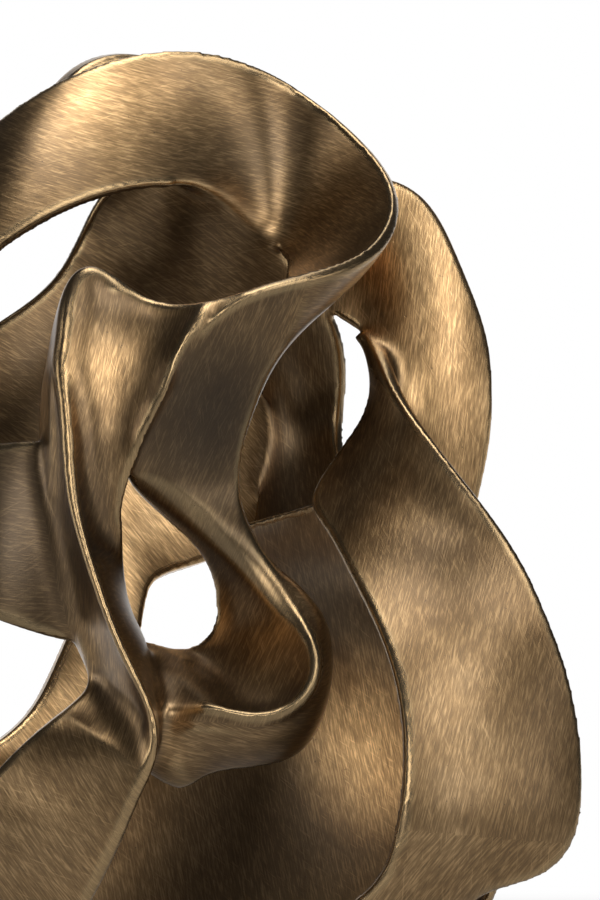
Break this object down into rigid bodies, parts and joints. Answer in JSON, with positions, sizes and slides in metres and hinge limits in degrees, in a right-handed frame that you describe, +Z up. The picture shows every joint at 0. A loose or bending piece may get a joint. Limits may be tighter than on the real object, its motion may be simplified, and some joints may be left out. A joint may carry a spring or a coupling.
{
  "type": "knot sculpture",
  "caption": "Free-standing abstract knot of wide twisting cast-metal bands with an antique bronze finish, a table or shelf ornament.",
  "frame": {"origin": "the middle of the sculpture's outline in plan, on the surface that it stands on", "axes": "+Z up, +X to the right and +Y away as seen by a viewer of the pictured side"},
  "size_m": [0.3262, 0.2121, 0.4119],
  "materials": {
    "bronze": "antique bronze patina, hand brushed, with worn bright edges and small casting pits",
    "felt": "dark pressed felt"
  },
  "bodies": {
    "root": {"left_loop": "bronze", "crown_band": "bronze", "inner_loop": "bronze", "sling_band": "bronze", "front_band": "bronze", "front_foot": "bronze", "left_arm": "bronze", "through_band": "bronze", "rear_column": "bronze", "rear_band": "bronze", "rear_arch": "bronze", "right_loop": "bronze", "right_band": "bronze", "right_foot": "bronze", "bowl_band": "bronze", "foot_pads": "felt"}
  },
  "joints": []
}
